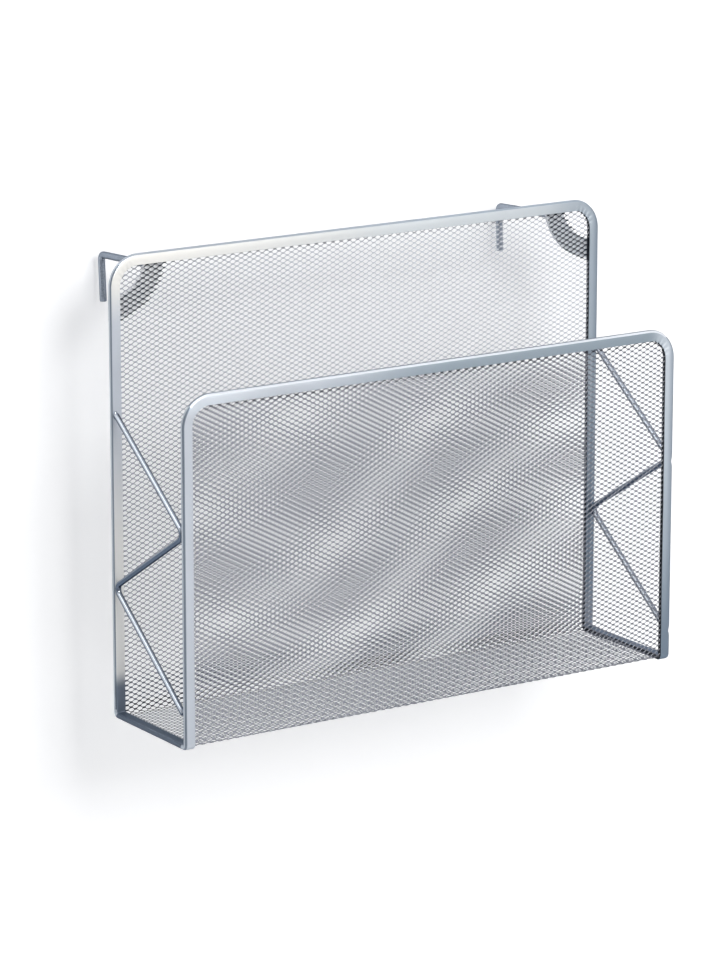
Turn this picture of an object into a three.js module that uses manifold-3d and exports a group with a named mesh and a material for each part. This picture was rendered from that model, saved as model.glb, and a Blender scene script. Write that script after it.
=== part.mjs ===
// Wall magazine holder: one folded sheet of expanded metal in a folded steel rim,
// held open by two zig-zag wire braces, and hung by two wire hooks on corner plates.
// Millimetres, +Z up, the pocket opens upwards and its front faces -Y, the wall is at +Y.
import * as THREE from 'three';
import { mergeVertices } from 'three/addons/utils/BufferGeometryUtils.js';
import Module from 'manifold-3d';

// Overall sizes of the folded holder, over the outside of the rim.
const WIDTH = 330;
const BACK_HEIGHT = 262;
const FRONT_HEIGHT = 198;
const DEPTH = 78;

// The rim is a flat strip folded over the edge of the sheet.
const RIM_WIDTH = 6.5;
const RIM_THICKNESS = 3;
const RIM_EDGE_BREAK = 0.5;
const CORNER_RADIUS = 18;
const FOLD_INNER_RADIUS = 0.5;
// Each side rim of the bottom turns up and runs on straight by this much to its joint.
const FOLD_STRAIGHT = 1.5;

// The sheet of expanded metal. The net is drawn coarser than the real one.
const SHEET_THICKNESS = 0.8;
const SHEET_SEAT = 4;
const SEAT_CLEARANCE = 0.3;
const DIAMOND_LONG = 52;
const DIAMOND_SHORT = 26.6;
const STRAND_WIDTH = 2.2;
// A diamond that the rim cuts is opened while its centre is no further out than this.
const CUT_REACH = 9;

// The zig-zag braces: heights of their two ends and two bends above the bottom.
const BRACE_WIRE = 3.2;
const BRACE_INSET = 0.2;
const BRACE_BEND_RADIUS = 4;
const BRACE_TOP = 174;
const BRACE_FRONT_BEND = 121;
const BRACE_BACK_BEND = 75;
const BRACE_FOOT = 20;
const WIRE_CLEARANCE = 0.3;

// The corner plates are quarter rings centred on the corners of the back.
const PLATE_INNER_RADIUS = 24.8;
const PLATE_OUTER_RADIUS = 36.3;
const PLATE_THICKNESS = 2;
const PLATE_EDGE_INSET = 1.5;

// The hooks: a wire arm that goes back from the plate, and a leg that goes down.
const HOOK_WIRE = 4;
const HOOK_ARM = 55;
const HOOK_LEG = 26.6;
const HOOK_BELOW_RIM = 1.8;
const HOOK_BEND_RADIUS = 2.2;
const HOOK_DROOP_DEGREES = 3.2;

// Fineness of the curves.
const ARC_STEPS = 4;
const WIRE_SIDES = 10;
const BEND_STEP_DEGREES = 25;

const HALF = WIDTH / 2;
const FOLD_RADIUS = FOLD_INNER_RADIUS + RIM_THICKNESS;
const FOLD_HEIGHT = FOLD_RADIUS + FOLD_STRAIGHT;
// The hooks' wire is centred a little below the lower edge of the back's top rim.
const HOOK_DROP = RIM_WIDTH + HOOK_BELOW_RIM;
const PLATE_MIDDLE_RADIUS = (PLATE_INNER_RADIUS + PLATE_OUTER_RADIUS) / 2;
// The two hooks stand where the middle line of each quarter ring meets their height.
const HOOK_X = HALF - Math.sqrt(PLATE_MIDDLE_RADIUS ** 2 - HOOK_DROP ** 2);
const HOOK_Z = BACK_HEIGHT - HOOK_DROP;
// The holder hangs on the undersides of the arms, halfway along them.
const HANG_Y = PLATE_THICKNESS + HOOK_ARM / 2;
const DROOP = THREE.MathUtils.degToRad(HOOK_DROOP_DEGREES);
const HANG_Z = HOOK_Z - (HOOK_ARM / 2) * Math.tan(DROOP) - HOOK_WIRE / 2 / Math.cos(DROOP);

const wasm = await Module();
wasm.setup();

// A closed geometry of positions alone, with its shared vertices merged.
function closed(geometry) {
  const bare = geometry.clone();
  bare.deleteAttribute('normal');
  bare.deleteAttribute('uv');
  return mergeVertices(bare, 1e-4);
}

function toSolid(geometry) {
  const merged = closed(geometry);
  return new wasm.Manifold(new wasm.Mesh({
    numProp: 3,
    vertProperties: new Float32Array(merged.attributes.position.array),
    triVerts: new Uint32Array(merged.index.array),
  }));
}

function toGeometry(solid) {
  const mesh = solid.getMesh();
  const geometry = new THREE.BufferGeometry();
  geometry.setAttribute('position', new THREE.BufferAttribute(new Float32Array(mesh.vertProperties), 3));
  geometry.setIndex(new THREE.BufferAttribute(new Uint32Array(mesh.triVerts), 1));
  geometry.computeVertexNormals();
  return geometry;
}

// Three ways to lay a drawn shape in space: x, y of the drawing and the way it is thickened.
const ACROSS_THE_FRONT = new THREE.Matrix4().makeBasis(
  new THREE.Vector3(1, 0, 0), new THREE.Vector3(0, 0, 1), new THREE.Vector3(0, -1, 0));
const ALONG_THE_SIDE = new THREE.Matrix4().makeBasis(
  new THREE.Vector3(0, 1, 0), new THREE.Vector3(0, 0, 1), new THREE.Vector3(1, 0, 0));
const ON_THE_FLOOR = new THREE.Matrix4();

// Thickens shapes from `start` by `thickness`, and lays them in space.
function slab(shapes, placing, start, thickness, edgeBreak = 0) {
  const geometry = new THREE.ExtrudeGeometry(shapes, {
    depth: thickness - 2 * edgeBreak,
    curveSegments: ARC_STEPS,
    bevelEnabled: edgeBreak > 0,
    bevelThickness: edgeBreak,
    bevelSize: edgeBreak,
    bevelOffset: -edgeBreak,
    bevelSegments: 1,
  });
  geometry.translate(0, 0, start + edgeBreak);
  geometry.applyMatrix4(placing);
  return geometry;
}

// The inverted U of a panel that is `height` high, from inset `outer` to inset `inner`.
function archBand(height, outer, inner, foot) {
  const band = new THREE.Shape();
  archLine(band, height, outer, foot, false);
  archLine(band, height, inner, foot, true);
  band.closePath();
  return band;
}

// One line of the arch, left to right or, reversed, right to left.
function archLine(path, height, inset, foot, reversed) {
  const radius = Math.max(CORNER_RADIUS - inset, 1);
  const side = HALF - inset;
  const top = height - inset;
  const way = reversed ? -1 : 1;
  if (!reversed) path.moveTo(-side, foot);
  path.lineTo(way * -side, reversed ? foot : top - radius);
  const from = reversed ? 0 : Math.PI;
  path.absarc(-way * (side - radius), top - radius, radius, from, Math.PI / 2, !reversed);
  path.absarc(way * (side - radius), top - radius, radius, Math.PI / 2, Math.PI - from, !reversed);
  path.lineTo(way * side, foot);
}

// The whole face of a panel inside the arch line.
function archFace(height, inset, foot) {
  const face = new THREE.Shape();
  archLine(face, height, inset, foot, false);
  face.closePath();
  return face;
}

// The U seen from the side: down the back, along the bottom and up the front.
function foldedBand(outer, inner, top) {
  const band = new THREE.Shape();
  foldLine(band, outer, top, false);
  foldLine(band, inner, top, true);
  band.closePath();
  return band;
}

function foldLine(path, inset, top, reversed) {
  const radius = FOLD_RADIUS - inset;
  const back = -inset;
  const front = -DEPTH + inset;
  const floor = inset + radius;
  if (reversed) {
    path.lineTo(front, top);
    path.absarc(front + radius, floor, radius, Math.PI, 1.5 * Math.PI, false);
    path.absarc(back - radius, floor, radius, 1.5 * Math.PI, 2 * Math.PI, false);
    path.lineTo(back, top);
    return;
  }
  path.moveTo(back, top);
  path.lineTo(back, floor);
  path.absarc(back - radius, floor, radius, 0, -0.5 * Math.PI, true);
  path.absarc(front + radius, floor, radius, -0.5 * Math.PI, -Math.PI, true);
  path.lineTo(front, top);
}

// Depths, from the outer face of the rim, of its slot and of the sheet in it.
const SHEET_NEAR = (RIM_THICKNESS - SHEET_THICKNESS) / 2;
const SHEET_FAR = SHEET_NEAR + SHEET_THICKNESS;
const SLOT_NEAR = SHEET_NEAR - SEAT_CLEARANCE;
const SLOT_FAR = SHEET_FAR + SEAT_CLEARANCE;
// Insets, from the outer edge of the rim, of the sheet's edge and of the slot's bottom.
const SHEET_INSET = RIM_WIDTH - SHEET_SEAT;
const SLOT_INSET = SHEET_INSET - SEAT_CLEARANCE;
// How far cutting solids run past what they cut.
const PAST = 1;

// The rim round the top and sides of one panel, whose outer face is at depth y = -`start`.
function panelRim(height, start) {
  const strip = slab(archBand(height, 0, RIM_WIDTH, FOLD_HEIGHT - PAST), ACROSS_THE_FRONT,
    start, RIM_THICKNESS, RIM_EDGE_BREAK);
  const slot = slab(archBand(height, SLOT_INSET, RIM_WIDTH + PAST, -PAST), ACROSS_THE_FRONT,
    start + SLOT_NEAR, SLOT_FAR - SLOT_NEAR);
  const foot = new THREE.BoxGeometry(2 * WIDTH, 2 * DEPTH, FOLD_HEIGHT);
  foot.translate(0, -start, FOLD_HEIGHT / 2);
  return toGeometry(toSolid(strip).subtract(toSolid(slot)).subtract(toSolid(foot)));
}

// The rim along one side edge of the bottom, with its two folds. side is -1 or 1.
function sideRim(side) {
  const left = side < 0 ? -HALF : HALF - RIM_WIDTH;
  const strip = slab(foldedBand(0, RIM_THICKNESS, FOLD_HEIGHT + PAST), ALONG_THE_SIDE,
    left, RIM_WIDTH, RIM_EDGE_BREAK);
  const slotLeft = side < 0 ? -HALF + SLOT_INSET : HALF - RIM_WIDTH - PAST;
  const slot = slab(foldedBand(SLOT_NEAR, SLOT_FAR, FOLD_HEIGHT + 2 * PAST), ALONG_THE_SIDE,
    slotLeft, RIM_WIDTH - SLOT_INSET + PAST);
  const above = new THREE.BoxGeometry(2 * WIDTH, 4 * DEPTH, FOLD_HEIGHT);
  above.translate(0, 0, 1.5 * FOLD_HEIGHT);
  return toGeometry(toSolid(strip).subtract(toSolid(slot)).subtract(toSolid(above)));
}

// The diamonds of a net from height `low` to `top`, in rows half a diamond apart, one at `middle`.
function diamonds(halfWide, low, top, middle) {
  const halfLong = DIAMOND_LONG / 2;
  const halfShort = DIAMOND_SHORT / 2;
  const inside = halfLong * halfShort / Math.hypot(halfLong, halfShort);
  const scale = 1 - STRAND_WIDTH / 2 / inside;
  const shapes = [];
  const reach = CUT_REACH * halfShort / halfLong;
  const rows = Math.ceil((top - low) / halfShort);
  const columns = Math.ceil((halfWide + CUT_REACH) / halfLong);
  for (let row = -rows; row <= rows; row += 1) {
    for (let column = -columns; column <= columns; column += 1) {
      if ((row + column) % 2) continue;
      const x = column * halfLong;
      const y = middle + row * halfShort;
      if (Math.abs(x) >= halfWide + CUT_REACH || y <= low - reach || y >= top + reach) continue;
      shapes.push(new THREE.Shape([
        new THREE.Vector2(x - scale * halfLong, y),
        new THREE.Vector2(x, y - scale * halfShort),
        new THREE.Vector2(x + scale * halfLong, y),
        new THREE.Vector2(x, y + scale * halfShort),
      ]));
    }
  }
  return shapes;
}

// Cuts the diamonds out of a sheet, as far as they lie inside the window.
function cutNet(sheet, shapes, window, placing, start, thickness) {
  const holes = toSolid(slab(shapes, placing, start - PAST, thickness + 2 * PAST));
  const open = toSolid(slab(window, placing, start - 2 * PAST, thickness + 4 * PAST));
  return toGeometry(toSolid(sheet).subtract(holes.intersect(open)));
}

// Every net keeps an uncut edge that runs into the rim, with one strand beside it.
const NET_INSET = RIM_WIDTH + STRAND_WIDTH / 4;

// The flat net of one panel. Its foot stands on the folded edge of the bottom net.
function panelNet(height, start) {
  const sheet = slab(archFace(height, SHEET_INSET, FOLD_HEIGHT), ACROSS_THE_FRONT,
    start + SHEET_NEAR, SHEET_THICKNESS);
  const low = FOLD_HEIGHT + STRAND_WIDTH / 4;
  const window = archFace(height, NET_INSET, low);
  const shapes = diamonds(HALF - NET_INSET, low, height - NET_INSET, FOLD_HEIGHT);
  return cutNet(sheet, shapes, window, ACROSS_THE_FRONT, start + SHEET_NEAR, SHEET_THICKNESS);
}

// The net of the bottom, folded up at its back and front edges.
function bottomNet() {
  const wide = HALF - SHEET_INSET;
  const sheet = slab(foldedBand(SHEET_NEAR, SHEET_FAR, FOLD_HEIGHT), ALONG_THE_SIDE,
    -wide, 2 * wide);
  const edge = FOLD_RADIUS + STRAND_WIDTH / 4;
  const window = new THREE.Shape([
    new THREE.Vector2(-HALF + NET_INSET, -DEPTH + edge),
    new THREE.Vector2(HALF - NET_INSET, -DEPTH + edge),
    new THREE.Vector2(HALF - NET_INSET, -edge),
    new THREE.Vector2(-HALF + NET_INSET, -edge),
  ]);
  const shapes = diamonds(HALF - NET_INSET, -DEPTH + edge, -edge, -DEPTH / 2);
  return cutNet(sheet, shapes, window, ON_THE_FLOOR, SHEET_NEAR, SHEET_THICKNESS);
}

// A bent wire in a side plane: straight runs between bends, with rings only where it needs them.
class WirePath extends THREE.Curve {
  // pins are the ends and bend centres in order: y, z, radius and turn (1 left, -1 right, 0 end).
  constructor(x, pins, firstTangent = null) {
    super();
    this.points = [];
    this.tangents = [];
    const runs = pins.slice(1).map((pin, i) => WirePath.tangentRun(pins[i], pin));
    pins.forEach((pin, i) => {
      if (pin.turn === 0) {
        const angle = i === 0 ? runs[0].angle : runs[i - 1].angle;
        this.addRing(x, pin.y, pin.z, angle);
        return;
      }
      const from = runs[i - 1].angle;
      let sweep = runs[i].angle - from;
      while (sweep * pin.turn < 0) sweep += pin.turn * 2 * Math.PI;
      const steps = Math.ceil(Math.abs(sweep) / THREE.MathUtils.degToRad(BEND_STEP_DEGREES));
      for (let step = 0; step <= steps; step += 1) {
        const angle = from + sweep * step / steps;
        const y = pin.y + pin.turn * pin.radius * Math.sin(angle);
        const z = pin.z - pin.turn * pin.radius * Math.cos(angle);
        this.addRing(x, y, z, angle);
      }
    });
    if (firstTangent) this.tangents[0] = firstTangent;
  }

  // The straight run from one pin to the next, tangent to both: its angle above +Y.
  static tangentRun(a, b) {
    const across = Math.hypot(b.y - a.y, b.z - a.z);
    const bearing = Math.atan2(b.z - a.z, b.y - a.y);
    const offset = (b.turn * b.radius - a.turn * a.radius) / across;
    return { angle: bearing + Math.acos(offset) - Math.PI / 2 };
  }

  addRing(x, y, z, angle) {
    this.points.push(new THREE.Vector3(x, y, z));
    this.tangents.push(new THREE.Vector3(0, Math.cos(angle), Math.sin(angle)));
  }

  getPointAt(u, target = new THREE.Vector3()) {
    return target.copy(this.points[Math.round(u * (this.points.length - 1))]);
  }

  getTangentAt(u, target = new THREE.Vector3()) {
    return target.copy(this.tangents[Math.round(u * (this.points.length - 1))]);
  }
}

function wire(path, diameter) {
  const section = new THREE.Shape();
  for (let side = 0; side < WIRE_SIDES; side += 1) {
    const angle = 2 * Math.PI * (side + 0.5) / WIRE_SIDES;
    const point = [diameter / 2 * Math.cos(angle), diameter / 2 * Math.sin(angle)];
    if (side === 0) section.moveTo(...point);
    else section.lineTo(...point);
  }
  section.closePath();
  return closed(new THREE.ExtrudeGeometry(section, {
    steps: path.points.length - 1,
    extrudePath: path,
  }));
}

// The zig-zag wire on one side, between the inner faces of the back and the front rim.
function brace(side) {
  const radius = BRACE_WIRE / 2;
  const x = side * (HALF - BRACE_INSET - radius);
  const back = -RIM_THICKNESS - WIRE_CLEARANCE - radius;
  const front = -DEPTH + RIM_THICKNESS + WIRE_CLEARANCE + radius;
  const path = new WirePath(x, [
    { y: back, z: BRACE_TOP, radius: 0, turn: 0 },
    { y: front + BRACE_BEND_RADIUS, z: BRACE_FRONT_BEND, radius: BRACE_BEND_RADIUS, turn: 1 },
    { y: back - BRACE_BEND_RADIUS, z: BRACE_BACK_BEND, radius: BRACE_BEND_RADIUS, turn: -1 },
    { y: front, z: BRACE_FOOT, radius: 0, turn: 0 },
  ]);
  return wire(path, BRACE_WIRE);
}

// The quarter ring on the rear face of the back rim, in one top corner.
function cornerPlate(side) {
  const reach = (radius) => Math.acos(PLATE_EDGE_INSET / radius);
  const outer = reach(PLATE_OUTER_RADIUS);
  const inner = reach(PLATE_INNER_RADIUS);
  const outerStart = Math.PI / 2 - outer;
  const innerStart = Math.PI / 2 - inner;
  const ring = new THREE.Shape();
  ring.absarc(0, 0, PLATE_OUTER_RADIUS, -outer, -outerStart, false);
  ring.absarc(0, 0, PLATE_INNER_RADIUS, -innerStart, -inner, true);
  ring.closePath();
  const geometry = slab(ring, ACROSS_THE_FRONT, 0, PLATE_THICKNESS);
  if (side > 0) geometry.rotateY(Math.PI / 2);
  geometry.translate(side * HALF, PLATE_THICKNESS, BACK_HEIGHT);
  return closed(geometry);
}

// The wire hook behind one corner plate, square to the plate where it is welded on.
function hook(side) {
  const path = new WirePath(0, [
    { y: 0, z: 0, radius: 0, turn: 0 },
    { y: HOOK_ARM - HOOK_BEND_RADIUS, z: -HOOK_BEND_RADIUS, radius: HOOK_BEND_RADIUS, turn: -1 },
    { y: HOOK_ARM, z: -HOOK_LEG, radius: 0, turn: 0 },
  ]);
  path.points.forEach((point) => point.applyAxisAngle(new THREE.Vector3(1, 0, 0), -DROOP));
  path.tangents.forEach((tangent, i) => {
    if (i > 0) tangent.applyAxisAngle(new THREE.Vector3(1, 0, 0), -DROOP);
  });
  const geometry = wire(path, HOOK_WIRE);
  geometry.translate(side * HOOK_X, PLATE_THICKNESS, HOOK_Z);
  return geometry;
}

const rimMaterial = new THREE.MeshStandardMaterial({ color: 0xb9c2c8, roughness: 0.38, metalness: 0.7 });
const netMaterial = new THREE.MeshStandardMaterial({ color: 0xaeb5bd, roughness: 0.45, metalness: 0.7 });
const wireMaterial = new THREE.MeshStandardMaterial({ color: 0x9aa4ad, roughness: 0.32, metalness: 0.75 });
const plateMaterial = new THREE.MeshStandardMaterial({ color: 0x8b969f, roughness: 0.4, metalness: 0.7 });

function piece(name, geometry, material) {
  const mesh = new THREE.Mesh(geometry, material.clone());
  mesh.name = name;
  return mesh;
}

const FRONT_START = DEPTH - RIM_THICKNESS;
const body = new THREE.Group();
body.add(piece('back_net', panelNet(BACK_HEIGHT, 0), netMaterial));
body.add(piece('front_net', panelNet(FRONT_HEIGHT, FRONT_START), netMaterial));
body.add(piece('bottom_net', bottomNet(), netMaterial));
body.add(piece('back_rim', panelRim(BACK_HEIGHT, 0), rimMaterial));
body.add(piece('front_rim', panelRim(FRONT_HEIGHT, FRONT_START), rimMaterial));
for (const [word, side] of [['left', -1], ['right', 1]]) {
  body.add(piece(`${word}_bottom_rim`, sideRim(side), rimMaterial));
  body.add(piece(`${word}_brace`, brace(side), wireMaterial));
  body.add(piece(`${word}_corner_plate`, cornerPlate(side), plateMaterial));
  body.add(piece(`${word}_hook`, hook(side), wireMaterial));
}

// The origin is the point between the hooks on which the holder hangs.
body.position.set(0, -HANG_Y, -HANG_Z);

const holder = new THREE.Group();
holder.add(body);

export default holder;
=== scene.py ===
import math

import bmesh
import bpy
import numpy as np
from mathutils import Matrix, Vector, noise


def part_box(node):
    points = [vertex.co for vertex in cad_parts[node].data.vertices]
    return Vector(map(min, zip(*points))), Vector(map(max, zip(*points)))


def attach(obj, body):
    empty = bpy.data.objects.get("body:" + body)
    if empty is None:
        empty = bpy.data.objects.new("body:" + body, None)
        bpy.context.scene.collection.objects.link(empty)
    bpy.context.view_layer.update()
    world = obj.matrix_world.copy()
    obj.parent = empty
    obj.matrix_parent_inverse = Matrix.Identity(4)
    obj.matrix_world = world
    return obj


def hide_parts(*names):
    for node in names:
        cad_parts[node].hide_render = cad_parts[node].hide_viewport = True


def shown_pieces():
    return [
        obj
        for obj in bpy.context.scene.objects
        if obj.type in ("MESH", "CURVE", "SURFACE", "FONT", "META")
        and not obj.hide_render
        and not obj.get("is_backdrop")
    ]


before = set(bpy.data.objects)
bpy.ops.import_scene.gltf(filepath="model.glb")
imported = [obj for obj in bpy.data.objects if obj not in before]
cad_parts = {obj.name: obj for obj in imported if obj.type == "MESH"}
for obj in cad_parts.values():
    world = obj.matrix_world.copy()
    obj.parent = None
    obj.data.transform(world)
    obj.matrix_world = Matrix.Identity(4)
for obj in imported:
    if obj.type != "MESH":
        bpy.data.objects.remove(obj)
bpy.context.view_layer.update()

MM = 0.001


def size_of(node):
    """A node's extent along x, y and z, in millimetres."""
    low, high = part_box(node)
    return (high - low) / MM


# Driving sizes, from the frame.
WIDTH = size_of("back_rim").x
BACK_HEIGHT = (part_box("back_rim")[1].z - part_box("left_bottom_rim")[0].z) / MM
FRONT_HEIGHT = (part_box("front_rim")[1].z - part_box("left_bottom_rim")[0].z) / MM
DEPTH = size_of("left_bottom_rim").y
RIM_WIDTH = size_of("left_bottom_rim").x
RIM_THICKNESS = size_of("back_rim").y
HALF = WIDTH / 2
ORIGIN = Vector((0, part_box("back_rim")[1].y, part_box("left_bottom_rim")[0].z))

# Sizes of the folds and corners, as in the part.
CORNER_RADIUS = 18
FOLD_INNER_RADIUS = 0.5
FOLD_MIDDLE_RADIUS = FOLD_INNER_RADIUS + RIM_THICKNESS / 2
FOLD_OUTER_RADIUS = FOLD_INNER_RADIUS + RIM_THICKNESS
HALF_THICK = RIM_THICKNESS / 2

# The real mesh: its pitch across and along the sheet, and its strands, which stand tilted to the
# sheet and lie flatter on the bottom.
MESH_LONG = 5.5
MESH_SHORT = 2.9
STRAND_WIDTH = 0.50
STRAND_THICKNESS = 0.28
KNUCKLE_HALF = 0.78
STRAND_TILT = math.radians(38)
BOTTOM_TILT = math.radians(16)
TILT_CHANGE = 3.0
MESH_INSET = 4.3
# A knuckle has two ends of three levels, each with a near and a far side.
END_CORNERS = 6
CORNERS = 2 * END_CORNERS
# An end's corners in their order round it.
ROUND_AN_END = (0, 2, 4, 5, 3, 1)
# The groups of faces of the strands that go one way: their four sides, and caps where no strand
# leaves a knuckle, where one ends at another piece's knuckle, and where none arrives.
GROUPS_PER_STEP = 7

# How far the knuckles reach past the sheet's outline while they are numbered, in half pitches.
SPARE_COLUMNS = 4
SPARE_ROWS = 8

# Colours of the paint, and the tint that its flake takes at a grazing angle. Most of them are painted
# light and shade: lighter and darker copies of the paint that stand in for how the light falls and
# reflects.
GRAZING_TINT = (0.10, 0.12, 0.16)
RIM_PAINT = (0.68, 0.72, 0.78)
# A painted highlight: the top of the back lighter and warmer, where the studio light reflects from
# it.
TOP_PAINTED_HIGHLIGHT = (0.94, 0.93, 0.89)
# Painted shade: the rim darker towards the bottom right, where less of the studio light reaches and
# reflects.
RIM_PAINTED_SHADE = (0.46, 0.53, 0.60)
# Painted light and shade on the rim by region, standing in for its reflections: its outer right edge,
# the back's top right, right side and lower left, the front's top and right side, and its feet.
OUTER_PAINTED_SHADE = (0.26, 0.33, 0.41)
TOP_RIGHT_PAINTED_LIGHT = (0.72, 0.77, 0.80)
LEFT_LOW_PAINTED_LIGHT = (0.98, 0.97, 0.93)
RIGHT_LOW_PAINTED_SHADE = (0.17, 0.22, 0.28)
FRONT_TOP_PAINTED_SHADE = (0.34, 0.41, 0.47)
FRONT_PAINTED_LIGHT = (0.80, 0.86, 0.92)
FRONT_LOW_PAINTED_SHADE = (0.24, 0.30, 0.37)
RIGHT_FOOT_PAINTED_SHADE = (0.26, 0.30, 0.37)
# Painted shade: the rim's outer shoulders darker where they turn from the light, and darker still at
# the foot.
SHOULDER_PAINTED_SHADE = (0.24, 0.28, 0.33)
SHOULDER_FOOT_PAINTED_SHADE = (0.13, 0.155, 0.19)
# Painted shade: the rim's outer edge a little darker than its faces, to keep down the light it
# catches.
EDGE_PAINTED_SHADE = (0.50, 0.54, 0.59)
# A painted highlight along the shoulder before the front's top.
PAINTED_HIGHLIGHT_COLOUR = (0.86, 0.89, 0.93)
# A painted shadow in the lips' ends and in the slot between them.
SLOT_PAINTED_SHADOW = (0.04, 0.045, 0.055)
# Painted shade: the rim's lowest part behind the front, darker where the floor's shade reflects in
# it.
LOW_PAINTED_SHADE = (0.25, 0.29, 0.35)
# Painted light and shade on the strands: lit and shaded copies of one paint, lighter for the strands
# that rise and darker for those that fall.
FALLING_PAINTED_SHADE = (0.22, 0.23, 0.26)
RISING_PAINTED_LIGHT = (0.51, 0.52, 0.56)
# Painted light and shade on the back's strands: closer to one tone, with less light on the rising
# ones.
BACK_FALLING_PAINTED_SHADE = (0.25, 0.26, 0.29)
BACK_RISING_PAINTED_SHADE = (0.30, 0.31, 0.34)
# Painted shade: the knuckles' own darker copy of the paint.
KNUCKLE_PAINTED_SHADE = (0.20, 0.21, 0.24)
# Painted light and shade on the sheet by region: knuckles lighter to the left, on the back and up the
# back, strands darker at the foot and lighter up the back, and a painted shadow at the back's fold
# and under the front's top.
KNUCKLE_LEFT_PAINTED_LIGHT = (0.33, 0.34, 0.38)
KNUCKLE_BACK_PAINTED_LIGHT = (0.44, 0.45, 0.49)
KNUCKLE_UPPER_PAINTED_LIGHT = (0.62, 0.63, 0.67)
MESH_PAINTED_SHADOW = (0.05, 0.055, 0.07)
MESH_FOOT_PAINTED_SHADE = (0.15, 0.165, 0.20)
MESH_UPPER_PAINTED_LIGHT = (0.46, 0.47, 0.51)
RISING_FOOT_PAINTED_SHADE = (0.34, 0.355, 0.40)
RISING_UPPER_PAINTED_LIGHT = (0.60, 0.61, 0.65)
# A painted shadow: the strands dark where they lie over the corner plates and shade them.
PLATE_PAINTED_SHADOW = (0.04, 0.05, 0.065)
WIRE_PAINT = (0.54, 0.58, 0.64)
# Painted shade: the wires darker underneath and on their right, inner side.
WIRE_UNDERSIDE_PAINTED_SHADE = (0.13, 0.16, 0.21)
WIRE_RIGHT_PAINTED_SHADE = (0.16, 0.19, 0.25)
# Painted light: the plates' fronts near white where they catch the light, while their rear keeps a
# plainer grey.
PLATE_FRONT_PAINTED_LIGHT = (0.97, 0.98, 1.0)
# Painted shade: the plates darker towards the bottom right, as with the rim.
PLATE_PAINTED_SHADE = (0.76, 0.79, 0.83)
PLATE_REAR = (0.50, 0.54, 0.60)
HOOK_PAINT = (0.34, 0.38, 0.44)


def place(points):
    """Points in the drawing's millimetres, as metres in the part's frame."""
    return np.asarray(points, float) * MM + np.array(ORIGIN)


def make_object(name, points, faces, replaced, smooth=True):
    """A mesh piece of the holder that stands for CAD nodes."""
    mesh = bpy.data.meshes.new(name)
    mesh.from_pydata(place(points).tolist(), [], faces)
    mesh.update()
    if smooth:
        mesh.shade_smooth()
    else:
        mesh.shade_flat()
    piece = bpy.data.objects.new(name, mesh)
    bpy.context.scene.collection.objects.link(piece)
    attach(piece, "root")
    if replaced:
        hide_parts(*replaced)
    return piece


# The sheet and the rim are drawn flat and then folded. u runs across, s down the back, along the
# bottom and up the front, and n stands off the middle of the sheet towards the inside.
BACK_END = BACK_HEIGHT - FOLD_OUTER_RADIUS
FOLD_LENGTH = FOLD_MIDDLE_RADIUS * math.pi / 2
BOTTOM_START = BACK_END + FOLD_LENGTH
BOTTOM_END = BOTTOM_START + DEPTH - 2 * FOLD_OUTER_RADIUS
FRONT_START = BOTTOM_END + FOLD_LENGTH
FLAT_LENGTH = FRONT_START + FRONT_HEIGHT - FOLD_OUTER_RADIUS


def fold(u, s, n):
    """Folds flat points u, s, n into x, y, z."""
    u, s, n = np.broadcast_arrays(np.asarray(u, float), s, n)
    middle_y = -FOLD_OUTER_RADIUS
    front_y = -DEPTH + FOLD_OUTER_RADIUS
    first = np.clip((s - BACK_END) / FOLD_MIDDLE_RADIUS, 0, math.pi / 2)
    second = np.clip((s - BOTTOM_END) / FOLD_MIDDLE_RADIUS, 0, math.pi / 2)
    radius = FOLD_MIDDLE_RADIUS - n
    y = np.where(s < BOTTOM_END,
                 middle_y + radius * np.cos(first) - np.clip(s - BOTTOM_START, 0, None),
                 front_y - radius * np.sin(second))
    z = np.where(s < BOTTOM_END,
                 FOLD_OUTER_RADIUS - radius * np.sin(first) + np.clip(BACK_END - s, 0, None),
                 FOLD_OUTER_RADIUS - radius * np.cos(second) + np.clip(s - FRONT_START, 0, None))
    return np.stack([u, y, z], axis=-1)


def inside_sheet(u, s, inset):
    """True where a flat point lies inside the sheet's rounded outline, less an inset."""
    radius = CORNER_RADIUS - inset
    across = np.abs(u) - (HALF - CORNER_RADIUS)
    along = np.maximum(CORNER_RADIUS - s, s - (FLAT_LENGTH - CORNER_RADIUS))
    corner = np.hypot(np.maximum(across, 0), np.maximum(along, 0)) < radius
    return corner & (across < radius) & (along < radius)


def mesh_cells():
    """The knuckles of the whole mesh: their columns and rows in half pitches."""
    last_column = round(WIDTH / MESH_LONG) + SPARE_COLUMNS
    last_row = round(2 * FLAT_LENGTH / MESH_SHORT) + SPARE_ROWS
    columns = np.arange(-last_column, last_column + 1)
    rows = np.arange(-SPARE_ROWS, last_row + 1)
    column, row = np.meshgrid(columns, rows, indexing="ij")
    column, row = column.ravel(), row.ravel()
    kept = (column + row) % 2 == 0
    column, row = column[kept], row[kept]
    kept = inside_sheet(*uneven(column * MESH_LONG / 2, row * MESH_SHORT / 2), MESH_INSET)
    return column[kept], row[kept]


# The sheet isn't expanded quite evenly: its pattern wanders by this much, and its front end is
# a little longer and skewed, which shows as soft bands where the front is seen over the back.
WANDER = 0.3
# The wander's slow waves: share, length across, length along and phase.
WAVES_ACROSS = ((0.5, 61, 47, 0.4), (0.3, -90, 33, 2.0))
WAVES_ALONG = ((1.0, 74, -39, 1.1), (0.7, 38, 120, 0.3))
FRONT_STRETCH_ACROSS = -0.006
FRONT_STRETCH_ALONG = 0.012
FRONT_SKEW_ACROSS = 0.014
FRONT_SKEW_ALONG = -0.0095
FRONT_SHIFT_ACROSS = -1.09
FRONT_SHIFT_ALONG = 0.29


def wander(u, s, waves):
    """How far the pattern wanders at flat points."""
    return WANDER * sum(share * np.sin(u / across + s / along + phase)
                        for share, across, along, phase in waves)


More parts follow.
